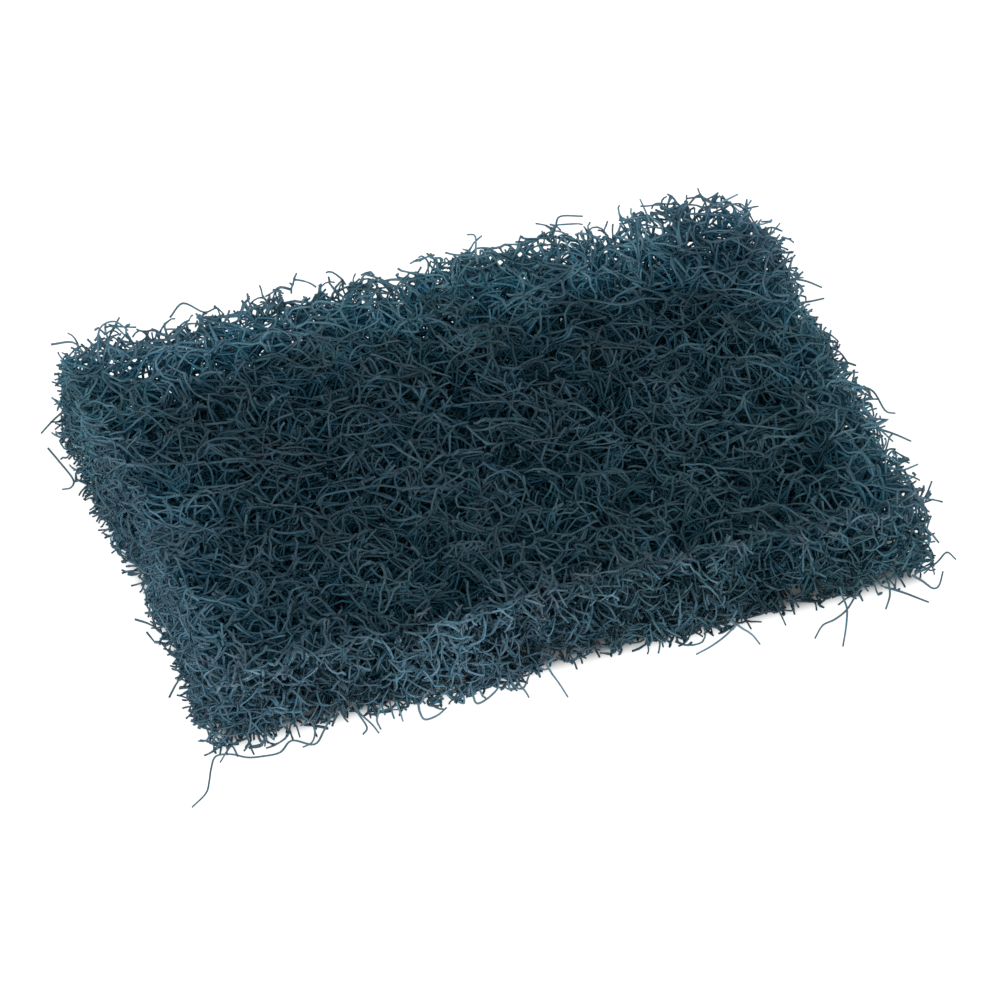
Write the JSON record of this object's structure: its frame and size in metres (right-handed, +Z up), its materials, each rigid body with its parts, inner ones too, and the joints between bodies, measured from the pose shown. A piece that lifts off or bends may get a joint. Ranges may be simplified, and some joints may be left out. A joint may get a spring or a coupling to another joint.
{
  "type": "pot scrubber",
  "caption": "Hand-sized rectangular scouring pad: a thick open mat of coarse crimped fibres bonded where they cross, with frayed cut edges and loose fibre ends.",
  "frame": {"origin": "middle of the pad's underside, on the plane that the pad lies on", "axes": "+X along the pad's length, +Y across its width, +Z up through its thickness"},
  "size_m": [0.1601, 0.1185, 0.0199],
  "materials": {
    "bonded_fibre_mat": "matt, dark teal blue fibres with a rough resin and grit coat"
  },
  "bodies": {
    "root": {"scrubber_pad": "bonded_fibre_mat"}
  },
  "joints": []
}
